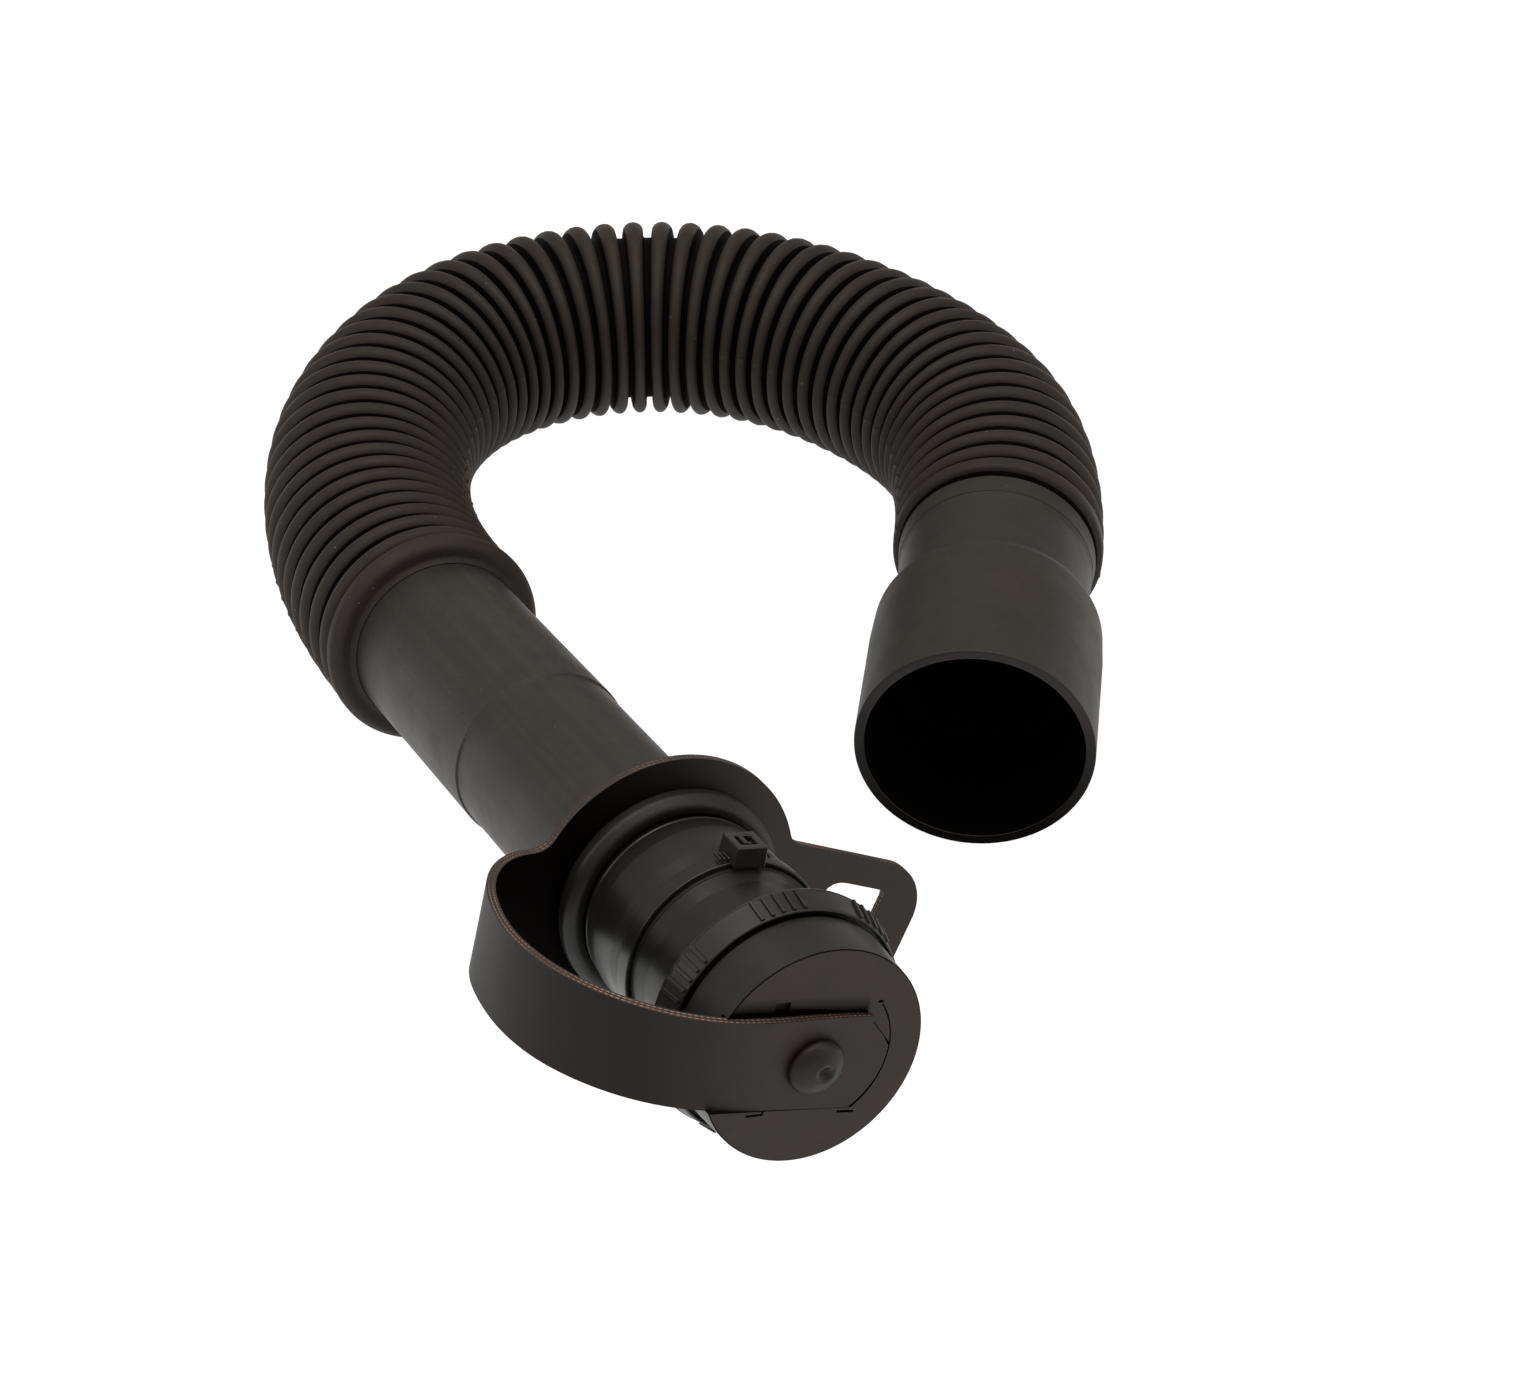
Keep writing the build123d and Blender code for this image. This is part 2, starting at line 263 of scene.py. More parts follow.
def spread(tree, value, low, high, to_low, to_high):
    node = tree.nodes.new("ShaderNodeMapRange")
    fill(node, From_Min=low, From_Max=high, To_Min=to_low, To_Max=to_high)
    link(tree, value, node.inputs["Value"])
    return node.outputs["Result"]


def mix_colour(tree, share, first, second):
    node = tree.nodes.new("ShaderNodeMix")
    node.data_type = "RGBA"
    link(tree, share, node.inputs["Factor"])
    for value, socket_name in ((first, "A"), (second, "B")):
        target = [s for s in node.inputs if s.name == socket_name and s.type == "RGBA"][0]
        if isinstance(value, tuple):
            target.default_value = (*value, 1.0)
        else:
            link(tree, value, target)
    return [s for s in node.outputs if s.type == "RGBA"][0]


def multiply(tree, first, second):
    """The product of two colours."""
    node = tree.nodes.new("ShaderNodeMix")
    node.data_type = "RGBA"
    node.blend_type = "MULTIPLY"
    node.inputs["Factor"].default_value = 1.0
    inputs = [s for s in node.inputs if s.type == "RGBA"]
    link(tree, first, inputs[0])
    link(tree, second, inputs[1])
    return [s for s in node.outputs if s.type == "RGBA"][0]


def bump(tree, shader, height, distance):
    node = tree.nodes.new("ShaderNodeBump")
    fill(node, Distance=distance, Strength=1.0)
    link(tree, height, node.inputs["Height"])
    link(tree, node.outputs["Normal"], shader.inputs["Normal"])


def calculate(tree, operation, first, second=None):
    """A Math node; each input is a number or another node's value."""
    node = tree.nodes.new("ShaderNodeMath")
    node.operation = operation
    for value, target in zip((first, second), node.inputs):
        if isinstance(value, (int, float)):
            target.default_value = value
        elif value is not None:
            link(tree, value, target)
    return node.outputs["Value"]


def distance_along(tree, coordinates, direction):
    """How far a place lies along a direction; the direction's length scales the result."""
    node = tree.nodes.new("ShaderNodeVectorMath")
    node.operation = "DOT_PRODUCT"
    link(tree, coordinates, node.inputs[0])
    node.inputs[1].default_value = tuple(direction)
    return node.outputs["Value"]


def object_coordinates(tree):
    return tree.nodes.new("ShaderNodeTexCoord").outputs["Object"]


def cloudy(tree, coordinates, colour, scale, roughness=0.55):
    """A colour that is a little darker and lighter in patches."""
    patches = noise(tree, coordinates, scale, 5.0, roughness)
    return ramp(tree, patches, ((0.3, tone(colour, 0.85)), (0.7, tone(colour, 1.15))))


def moulded_grain(tree, shader, coordinates, depth):
    bump(tree, shader, noise(tree, coordinates, GRAIN_SCALE, 3.0, 0.7), depth)


def tone(colour, factor):
    return tuple(channel * factor for channel in colour)


def streaks(tree, coordinates, line):
    """Fine lines that run along a line, as pulled rubber has."""
    parts = []
    for direction, scale in ((line.side, STREAK_SCALE), (line.up, STREAK_SCALE),
                             (line.along, STREAK_STRETCH)):
        parts.append(distance_along(tree, coordinates, direction * scale))
    joined = tree.nodes.new("ShaderNodeCombineXYZ")
    for part, socket_name in zip(parts, "XYZ"):
        link(tree, part, joined.inputs[socket_name])
    lines = noise(tree, joined.outputs["Vector"], 1.0, 3.0, 0.6)
    return ramp(tree, lines, ((0.35, (0.84, 0.82, 0.80)), (0.65, (1.12, 1.07, 1.02))))


def moulded(name, colour, warm, roughness, grain, specks=0.0, coat=0.0, specular=0.5, line=None):
    """Black rubber or plastic: cloudy tone, fine moulded grain, uneven sheen and a few dust specks."""
    material, tree, shader = base_material(name)
    coordinates = object_coordinates(tree)
    cloud = noise(tree, coordinates, 28.0, 5.0)
    tint = ramp(tree, cloud, ((0.30, tone(colour, 0.86)), (0.52, colour), (0.74, warm)))
    blotch = ramp(tree, noise(tree, coordinates, 190.0, 5.0, 0.7), ((0.34, (0.80, 0.80, 0.80)),
                                                                    (0.66, (1.0, 1.0, 1.0))))
    tint = multiply(tree, tint, blotch)
    if line:
        tint = multiply(tree, tint, streaks(tree, coordinates, line))
    if specks:
        dust = tree.nodes.new("ShaderNodeTexVoronoi")
        fill(dust, Scale=260.0)
        link(tree, coordinates, dust.inputs["Vector"])
        near = spread(tree, dust.outputs["Distance"], 0.05, 0.09, 1.0, 0.0)
        patches = spread(tree, noise(tree, coordinates, 70.0, 2.0), 0.55, 0.66, 0.0, specks)
        tint = mix_colour(tree, calculate(tree, "MULTIPLY", near, patches), tint, DUST_COLOUR)
    link(tree, tint, shader.inputs["Base Color"])
    uneven = spread(tree, noise(tree, coordinates, 90.0, 4.0), 0.3, 0.7,
                    roughness - 0.05, roughness + 0.06)
    link(tree, uneven, shader.inputs["Roughness"])
    fill(shader, Specular_IOR_Level=specular, Coat_Weight=coat, Coat_Roughness=0.12)
    moulded_grain(tree, shader, coordinates, grain)
    return material


YARN_PITCH = 1.3
PLY_MIDDLES = (0.29, 0.71)
PLY_HALF = 0.075


def strap_edge(name):
    """Cut edge of the strap: two plies of coppery yarn ends between layers of dark rubber."""
    material, tree, shader = base_material(name)
    uv = tree.nodes.new("ShaderNodeUVMap")
    uv.uv_map = "edge"
    split = tree.nodes.new("ShaderNodeSeparateXYZ")
    link(tree, uv.outputs["UV"], split.inputs["Vector"])
    along, through = split.outputs["X"], split.outputs["Y"]

    def stripe(middle):
        away = calculate(tree, "ABSOLUTE", calculate(tree, "SUBTRACT", through, middle))
        return spread(tree, away, PLY_HALF * 0.6, PLY_HALF * 1.2, 1.0, 0.0)

    plies = calculate(tree, "MAXIMUM", stripe(PLY_MIDDLES[0]), stripe(PLY_MIDDLES[1]))
    wave = calculate(tree, "SINE", calculate(tree, "MULTIPLY", along, 2 * pi / YARN_PITCH))
    yarn = spread(tree, wave, -0.5, 0.2, 0.15, 1.0)
    dots = calculate(tree, "MULTIPLY", plies, yarn)
    coordinates = object_coordinates(tree)
    rubber_tone = ramp(tree, noise(tree, coordinates, 60.0), ((0.3, (0.013, 0.009, 0.007)),
                                                              (0.7, (0.022, 0.014, 0.011))))
    copper = ramp(tree, noise(tree, coordinates, 32.0), ((0.42, (0.055, 0.032, 0.024)),
                                                         (0.66, (0.40, 0.25, 0.19))))
    link(tree, mix_colour(tree, dots, rubber_tone, copper), shader.inputs["Base Color"])
    fill(shader, Roughness=0.7)
    bump(tree, shader, dots, 0.15 * MM)
    return material


def rubber_with_painted_shade(name, direction, start, end, colour, deep, deep_specular=0.02):
    """Rubber that goes from its own colour to a deep painted shade between two distances along a
    direction; its shine fades with the painted shade.
    """
    material, tree, shader = base_material(name)
    coordinates = object_coordinates(tree)
    share = spread(tree, distance_along(tree, coordinates, direction), start, end, 0.0, 1.0)
    patchy = cloudy(tree, coordinates, colour, 90.0)
    link(tree, mix_colour(tree, share, patchy, deep), shader.inputs["Base Color"])
    shine = spread(tree, share, 0.0, 1.0, 0.28, deep_specular)
    link(tree, shine, shader.inputs["Specular IOR Level"])
    fill(shader, Roughness=0.52)
    moulded_grain(tree, shader, coordinates, 0.05 * MM)
    return material


STRAP_TILT = radians(19)


def face_directions():
    """Right and up on the cap's face, as the strap lies."""
    right = spout.side * cos(STRAP_TILT) - spout.up * sin(STRAP_TILT)
    up = spout.side * sin(STRAP_TILT) + spout.up * cos(STRAP_TILT)
    return right, up


def cap_face_material(name, colour):
    """The cap's flat face, falling into deep painted shade in the hollow above the strap's upper edge.
    """
    material, tree, shader = base_material(name)
    coordinates = object_coordinates(tree)
    right, up = face_directions()

    def fade(direction, start, end, first, last):
        zero = direction.dot(spout.origin)
        place = distance_along(tree, coordinates, direction)
        return spread(tree, place, zero + start * MM, zero + end * MM, first, last)

    # painted shade: a band along the strap's upper edge, fading out upwards and stopping at the
    # strap's end; its shine fades too
    above = fade(up, 8.5, 9.0, 0.0, 1.0)
    below = fade(up, 12.0, 16.0, 1.0, 0.0)
    before = fade(right, 10.6, 11.6, 1.0, 0.0)
    shade = calculate(tree, "MULTIPLY", calculate(tree, "MULTIPLY", above, below), before)
    patchy = cloudy(tree, coordinates, colour, 120.0, 0.7)
    link(tree, mix_colour(tree, shade, patchy, DEEP_SHADE), shader.inputs["Base Color"])
    link(tree, spread(tree, shade, 0.0, 1.0, 0.28, 0.0), shader.inputs["Specular IOR Level"])
    fill(shader, Roughness=0.5)
    moulded_grain(tree, shader, coordinates, 0.04 * MM)
    return material


hose_rubber = moulded("hose_rubber", (0.0165, 0.0112, 0.0084), (0.0210, 0.0142, 0.0105), 0.62,
                      0.06 * MM, specks=0.6, specular=0.26)
# painted shade: near-black colour put in the hose's grooves and inside wall, and in the cap's recess,
# slit walls and face rim
groove_painted_shade = moulded("groove_painted_shade", (0.0042, 0.0028, 0.0021), (0.0055, 0.0037, 0.0028), 0.8,
                        0.05 * MM, specular=0.05)
smooth_rubber = moulded("smooth_rubber", (0.0210, 0.0198, 0.0178), (0.0275, 0.0218, 0.0185), 0.48,
                        0.04 * MM, specks=0.2, specular=0.32, line=spout)
socket_rubber = moulded("socket_rubber", (0.0195, 0.0160, 0.0132), (0.0250, 0.0195, 0.0158), 0.54,
                        0.06 * MM, specks=0.3, specular=0.28)
# painted shade: near-black colour for the inside of the socket
bore_painted_shade = moulded("bore_painted_shade", (0.0012, 0.0010, 0.0008), (0.0016, 0.0013, 0.0011), 0.9,
                      0.03 * MM, specular=0.02)
bead_rubber = moulded("bead_rubber", (0.0085, 0.0076, 0.0068), (0.0110, 0.0094, 0.0082), 0.46,
                      0.03 * MM, specular=0.32)
spout_middle = -spout.side.dot(spout.origin)
# strap: its own colour, going to painted shade towards its loop
strap_rubber = rubber_with_painted_shade("strap_rubber", -spout.side, spout_middle + 0.010, spout_middle + 0.040,
                      (0.0185, 0.0118, 0.0092), (0.0092, 0.0062, 0.0050), 0.18)
# inner side of the strap: a darker painted-shade copy of the strap rubber, deepening to near-black
# painted shade towards the loop
loop_side_painted_shade = rubber_with_painted_shade("loop_side_painted_shade", -spout.side, spout_middle - 0.030, spout_middle + 0.022,
                     (0.0130, 0.0085, 0.0066), (0.0016, 0.0010, 0.0007))
# rim of the socket's mouth: a darker painted-shade copy of the socket rubber, darker still towards the
# floor
rim_painted_shade = rubber_with_painted_shade("rim_painted_shade", (0, 0, -1), -0.050, -0.008, (0.0120, 0.0092, 0.0076),
                    (0.0012, 0.0009, 0.0007))
gloss_rubber = moulded("gloss_rubber", (0.0085, 0.0082, 0.0072), (0.0105, 0.0096, 0.0084), 0.34,
                       0.012 * MM, coat=0.05, specular=0.40)
neck_plastic = moulded("neck_plastic", (0.0080, 0.0080, 0.0070), (0.0100, 0.0096, 0.0082), 0.34,
                       0.012 * MM, specular=0.38)
cap_plastic = moulded("cap_plastic", (0.0115, 0.0114, 0.0100), (0.0150, 0.0132, 0.0112), 0.40,
                      0.030 * MM, specks=0.12, specular=0.34)
# cap face: its own patchy colour, with painted shade above the strap
cap_face_painted_shade = cap_face_material("cap_face_painted_shade", (0.0200, 0.0130, 0.0102))
dome_plastic = moulded("dome_plastic", (0.0100, 0.0064, 0.0050), (0.0125, 0.0080, 0.0064), 0.46,
                       0.030 * MM, specular=0.26)
tie_nylon = moulded("tie_nylon", (0.0105, 0.0106, 0.0096), (0.0130, 0.0124, 0.0110), 0.30,
                    0.015 * MM, specular=0.42)
gasket_rubber = moulded("gasket_rubber", (0.03, 0.03, 0.03), (0.036, 0.034, 0.032), 0.7, 0.05 * MM)
washer_steel = moulded("washer_steel", (0.42, 0.42, 0.41), (0.50, 0.49, 0.47), 0.3, 0.01 * MM)
edge_rubber = strap_edge("strap_edge")

# ---- corrugated hose: one mesh along the route ----
HOSE_CREST = 31.0
HOSE_ROOT = 25.9
HOSE_WALL = 1.7
HOSE_RINGS = 54
RING_SHARE = 0.69
# height over the groove's root below which the hose's faces take painted shade
GROOVE_SHADE_DEPTH = 3.3
SEAM_TURN = radians(78)
SEAM_HALF_TURN = radians(0.75)
SEAM_CLEAR_TURN = radians(1.2)
SEAM_HEIGHT = 0.28
HOSE_SEGMENTS = 96
hose_route = [
    (-0.0605, -0.0057, 0.0362),
    (-0.08524, 0.03036, 0.03132),
    (-0.1020, 0.0985, 0.0310),
    (-0.0848, 0.1558, 0.0310),
    (-0.0374, 0.1863, 0.0310),
    (0.0187, 0.1839, 0.0310),
    (0.0705, 0.1481, 0.0316),
    (0.0964, 0.1004, 0.0330),
    (0.0964, 0.0557, 0.0330),
]


def route_points(points):
    """The smooth line through the route: the points of an unbevelled NURBS curve."""
    data = bpy.data.curves.new("hose_line", "CURVE")
    data.dimensions = "3D"
    spline = data.splines.new("NURBS")
    spline.points.add(len(points) - 1)
    for point, place in zip(spline.points, points):
        point.co = (*place, 1.0)
    spline.order_u = 3
    spline.use_endpoint_u = True
    spline.resolution_u = 48
    curve = bpy.data.objects.new("hose_line", data)
    mesh = bpy.data.meshes.new_from_object(curve)
    line = [vertex.co.copy() for vertex in mesh.vertices]
    bpy.data.objects.remove(curve)
    bpy.data.meshes.remove(mesh)
    return line


class Track:
    """Places and directions at any distance along a line of points."""

    def __init__(self, points):
        self.points = points
        self.reach = [0.0]
        for first, second in zip(points, points[1:]):
            self.reach.append(self.reach[-1] + (second - first).length)
        self.length = self.reach[-1]

    def place(self, distance):
        distance = min(max(distance, 0.0), self.length)
        low, high = 0, len(self.reach) - 1
        while high - low > 1:
            middle = (low + high) // 2
            if self.reach[middle] <= distance:
                low = middle
            else:
                high = middle
        share = (distance - self.reach[low]) / (self.reach[high] - self.reach[low])
        return self.points[low].lerp(self.points[high], share)

    def direction(self, distance, step=0.002):
        return (self.place(distance + step) - self.place(distance - step)).normalized()


hose_track = Track(route_points(hose_route))


def ring_profile(pitch, last=False):
    """(distance, radius) of one corrugation in millimetres, from groove to groove."""
    half = pitch * RING_SHARE / 2
    if last:
        return [(0.0, HOSE_ROOT), (0.5, HOSE_ROOT), (1.0, HOSE_ROOT + 1.0), (1.2, HOSE_CREST - 1.2),
                (1.6, HOSE_CREST - 0.35), (2.3, HOSE_CREST), (5.2, HOSE_CREST - 0.1),
                (5.9, HOSE_CREST - 0.35), (6.35, HOSE_CREST - 0.9), (6.6, HOSE_CREST - 1.8),
                (6.75, HOSE_ROOT + 1.6), (6.9, HOSE_ROOT + 0.9)]
    points = [(0.0, HOSE_ROOT), (pitch / 2 - half - 0.35, HOSE_ROOT)]
    points.append((pitch / 2 - half, HOSE_ROOT + 0.6))
    crest_middle = HOSE_CREST - half
    for step in range(9):
        turn = pi * step / 8
        points.append((pitch / 2 - half * cos(turn), crest_middle + half * sin(turn)))
    points.append((pitch / 2 + half, HOSE_ROOT + 0.6))
    points.append((pitch / 2 + half + 0.35, HOSE_ROOT))
    return points


def hose_turns(segments):
    """Turns round the hose, with extra ones that draw the mould's two parting lines."""
    seams = [SEAM_TURN, SEAM_TURN + pi]
    turns = [2 * pi * index / segments for index in range(segments)]
    turns = [t for t in turns if all(abs(t - seam) > SEAM_CLEAR_TURN for seam in seams)]
    for seam in seams:
        turns += [seam - SEAM_HALF_TURN, seam, seam + SEAM_HALF_TURN]
    return sorted(turns), seams


def build_hose():
    length = hose_track.length / MM
    pitch = length / HOSE_RINGS
    stations = []
    for ring in range(HOSE_RINGS):
        profile = ring_profile(pitch, ring == HOSE_RINGS - 1)
        stations += [(ring * pitch + d, r) for d, r in profile]
    stations.append((length, HOSE_ROOT + 0.9))
    turns, seams = hose_turns(HOSE_SEGMENTS)
    build = bmesh.new()

    def loop_at(distance, radius, marked):
        centre = hose_track.place(distance * MM)
        along = hose_track.direction(distance * MM)
        if distance <= 0:
            along = -spout.along
        side = Vector((0, 0, 1)).cross(along).normalized()
        up = along.cross(side)
        ring = []
        for turn in turns:
            extra = SEAM_HEIGHT if marked and turn in seams and radius > HOSE_ROOT + 2 else 0.0
            outward = up * cos(turn) - side * sin(turn)
            ring.append(build.verts.new(centre + outward * (radius + extra) * MM))
        return ring

    outer = [loop_at(distance, radius, True) for distance, radius in stations]
    inner = [loop_at(distance, radius - HOSE_WALL, False) for distance, radius in stations]
    # faces low in the grooves and the whole inside wall take material 1, the grooves' painted shade
    deep = [(first[1] + second[1]) / 2 < HOSE_ROOT + GROOVE_SHADE_DEPTH
            for first, second in zip(stations, stations[1:])]
    for loops, dark in ((outer, False), (inner, True)):
        for first, second, low in zip(loops, loops[1:], deep):
            pair = (second, first) if dark else (first, second)
            for face in quads_between(build, *pair):
                face.material_index = 1 if low or dark else 0
    for end in (0, -1):
        quads_between(build, outer[end], inner[end])
    piece = finish_mesh(build, "hose", hose_rubber)
    piece.data.materials.append(groove_painted_shade)
    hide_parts("corrugated_hose")
    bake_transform(piece)
    return piece


build_hose()

# ---- socket end ----
SOCKET_LENGTH = 93.15
SOCKET_STOP = 50.0
BAND_LENGTH = 7.5
SHOULDER = 33.5


def build_socket():
    band = revolve("band_ring", socket, [
        (26.1, 0.1, 0), (26.8, 0.1, 0.2), (26.8, 0.5, 0.3), (28.95, 0.5, 0.4),
        (28.45, BAND_LENGTH - 0.05, 0.15), (26.1, BAND_LENGTH - 0.1, 0)], socket_rubber)
    dress(band, "socket_end", "socket_band")
    cuff = revolve("socket", socket, [
        (25.0, BAND_LENGTH, 0), (28.35, BAND_LENGTH, 0.12), (27.95, BAND_LENGTH + 2.5, 1.0),
        (27.8, SHOULDER - 0.5, 0.3), (28.15, SHOULDER - 0.2, 0.1), (28.3, SHOULDER + 0.3, 0.2),
        (30.2, SHOULDER + 1.6, 1.2), (32.5, SHOULDER + 6.5, 5.0), (33.0, SHOULDER + 18.0, 6.0),
        (33.0, SOCKET_LENGTH, 0.7), (30.2, SOCKET_LENGTH, 0.5), (30.2, SOCKET_STOP, 0.5),
        (25.0, SOCKET_STOP - 4.0, 1.0)], socket_rubber, FINE_ROUND)
    cuff.data.materials.append(bore_painted_shade)
    cuff.data.materials.append(rim_painted_shade)
    # inside faces take the bore's painted shade, the mouth's rim its own painted shade
    for polygon in cuff.data.polygons:
        place = polygon.center - socket.origin
        station = place.dot(socket.along)
        inward = (place - socket.along * station).dot(polygon.normal) < 0
        if inward and station < (SOCKET_LENGTH - 1.0) * MM:
            polygon.material_index = 1
        elif polygon.normal.dot(socket.along) > 0.5 and station > (SOCKET_LENGTH - 1.0) * MM:
            polygon.material_index = 2
    dress(cuff, "socket_end", "socket_cuff")


# ---- spout end ----
TUBE_STEP = 78.0
STEP_FADE_TURN = radians(112)
STEP_FADE_WIDTH = radians(26)
STEP_SLOPE = 3.0
STRAP_PLATE_REAR = 149.1
BEAD_REAR = 151.6
BEAD_FRONT = 159.2
TIE_REAR = 181.2
TIE_FRONT = 186.0
TIE_HEAD_TURN = radians(74)
NECK_SHOULDER = 187.0
THREAD_START = 209.1
NECK_RIM = 224.2


def step_fade(radius, station, turn):
    """The step on the tube runs out into a slope near the top of the tube."""
    away = (turn - STEP_FADE_TURN) / STEP_FADE_WIDTH
    if TUBE_STEP + 0.1 < station < TUBE_STEP + 1.2:
        station += STEP_SLOPE * exp(-away * away)
    return radius, station


def build_spout():
    ring = revolve("end_ring", spout, [
        (26.1, 0.05, 0), (29.6, 0.05, 1.2), (31.4, 1.4, 1.4), (31.4, 4.0, 2.4), (29.6, 6.6, 2.6),
        (26.2, 6.5, 1.2), (25.1, 7.6, 0.2), (24.85, 7.9, 0), (24.85, 2.0, 0), (26.1, 2.0, 0)],
        hose_rubber)
    dress(ring, "spout_end", "hose_end_ring")
    tube = revolve("tube", spout, [
        (21.6, 2.0, 0), (24.8, 2.0, 0.3), (24.8, TUBE_STEP, 0.25), (24.35, TUBE_STEP + 0.25, 0.1),
        (24.35, TUBE_STEP + 0.9, 0.2), (24.2, TUBE_STEP + 6.0, 0.5), (24.2, BEAD_REAR, 0.4),
        (27.6, BEAD_REAR, 2.2), (29.6, BEAD_REAR + 2.2, 2.0), (29.6, BEAD_FRONT - 2.4, 2.2),
        (27.6, BEAD_FRONT, 2.0), (25.2, BEAD_FRONT - 0.6, 0.8), (23.3, 156.4, 0.3),
        (21.6, 156.4, 0)], smooth_rubber, FINE_ROUND, step_fade)
    dress(tube, "spout_end", "spout_tube")
    for polygon in tube.data.polygons:
        station = (polygon.center - spout.origin).dot(spout.along) / MM
        polygon.material_index = 1 if station > BEAD_REAR - 0.5 else 0
    tube.data.materials.append(bead_rubber)
    sleeve = revolve("sleeve", spout, [
        (23.1, 156.6, 0), (24.4, 158.6, 0.8), (25.3, 160.6, 0.3), (25.15, 161.1, 0.2),
        (25.2, 161.6, 0.3), (25.95, 166.5, 4.0), (25.95, 176.0, 4.0), (25.45, TIE_REAR - 0.7, 0.6),
        (25.4, TIE_FRONT, 0.2), (25.3, 186.9, 0.1), (22.6, 186.9, 0), (22.6, 160.0, 0),
        (20.0, 160.0, 0), (20.0, 157.0, 0)], gloss_rubber, FINE_ROUND)
    dress(sleeve, "spout_end", "spout_sleeve")
    neck = revolve("neck", spout, [
        (18.5, 160.2, 0), (22.4, 160.2, 0.4), (22.4, NECK_SHOULDER, 0.2),
        (25.2, NECK_SHOULDER, 0.1), (24.5, NECK_SHOULDER + 5.0, 3.0),
        (24.4, THREAD_START, 0.3), (22.6, THREAD_START, 0.2), (22.6, NECK_RIM, 0.6),
        (18.5, NECK_RIM, 0.6)], neck_plastic, FINE_ROUND)
    dress(neck, "spout_end", "spout_neck")


def box_into(build, centre, directions, sizes, taper=1.0):
    """Adds a box to a bmesh; the face at the end of the third direction is scaled by taper."""
    corners = []
    for third in (-0.5, 0.5):
        shrink = taper if third > 0 else 1.0
        for second in (-0.5, 0.5):
            for first in (-0.5, 0.5):
                place = centre.copy()
                place += directions[0] * sizes[0] * first * shrink * MM
                place += directions[1] * sizes[1] * second * shrink * MM
                place += directions[2] * sizes[2] * third * MM
                corners.append(build.verts.new(place))
    for face in ((0, 1, 3, 2), (4, 6, 7, 5), (0, 4, 5, 1), (2, 3, 7, 6), (0, 2, 6, 4), (1, 5, 7, 3)):
        build.faces.new([corners[index] for index in face])


def bevelled(piece, width, segments=2):
    modifier = piece.modifiers.new("edges", "BEVEL")
    modifier.width = width * MM
    modifier.segments = segments
    modifier.limit_method = "ANGLE"
    modifier.angle_limit = radians(35)
    modifier.harden_normals = False


def apply_modifiers(piece):
    """Bakes a piece's modifiers into its mesh."""
    graph = bpy.context.evaluated_depsgraph_get()
    mesh = bpy.data.meshes.new_from_object(piece.evaluated_get(graph))
    old = piece.data
    piece.modifiers.clear()
    piece.data = mesh
    mesh.name = piece.name
    bpy.data.meshes.remove(old)


def carve(piece, cutter):
    """Cuts the cutter out of the piece and deletes the cutter."""
    modifier = piece.modifiers.new("cut", "BOOLEAN")
    modifier.operation = "DIFFERENCE"
    modifier.solver = "EXACT"
    modifier.object = cutter
    apply_modifiers(piece)
    bpy.data.objects.remove(cutter)


TIE_SEAT = 25.4
TIE_THICKNESS = 1.3
TIE_HEAD = 8.6
TIE_HEAD_HEIGHT = 5.4
TIE_WINDOW = 4.4
TIE_TOOTH_PITCH = 1.1
TIE_TEETH = 3


def build_tie():
    middle = (TIE_REAR + TIE_FRONT) / 2
    tie = revolve("tie", spout, [
        (TIE_SEAT, TIE_REAR, 0), (TIE_SEAT + TIE_THICKNESS, TIE_REAR, 0.35),
        (TIE_SEAT + TIE_THICKNESS, TIE_FRONT, 0.35), (TIE_SEAT, TIE_FRONT, 0)], tie_nylon, FINE_ROUND)
    outward = spout.outward(TIE_HEAD_TURN)
    onward = outward.cross(spout.along)
    directions = (onward, spout.along, outward)
    seat = spout.at(middle, TIE_SEAT, TIE_HEAD_TURN)

    def block(build, rise, reach, sizes, taper=1.0):
        place = seat + (outward * rise + onward * reach) * MM
        box_into(build, place, directions, sizes, taper)

    build = bmesh.new()
    block(build, 0.4 + TIE_HEAD_HEIGHT / 2, 0.0, (TIE_HEAD, TIE_HEAD, TIE_HEAD_HEIGHT), 0.96)
    head = finish_mesh(build, "tie_head", tie_nylon)
    build = bmesh.new()
    block(build, TIE_HEAD_HEIGHT, 0.0, (TIE_WINDOW, TIE_WINDOW, 5.0))
    carve(head, finish_mesh(build, "window", tie_nylon))
    build = bmesh.new()
    block(build, TIE_HEAD_HEIGHT - 1.0, -0.7, (1.4, 3.6, 3.2))
    block(build, TIE_HEAD_HEIGHT - 1.6, 1.0, (2.2, 1.1, 2.6))
    for side in (-1, 1):
        for step in range(TIE_TEETH):
            reach = TIE_HEAD / 2 + 0.2 + TIE_TOOTH_PITCH * step
            block(build, 1.75 - 0.1 * step, side * reach, (0.7, 3.6, 0.8))
    pawl = finish_mesh(build, "tie_pawl", tie_nylon)
    for piece in (head, pawl):
        bevelled(piece, 0.35, 3)
        keep_faces_flat(piece)
        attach(piece, "spout_end")
    dress(tie, "spout_end", "cable_tie")


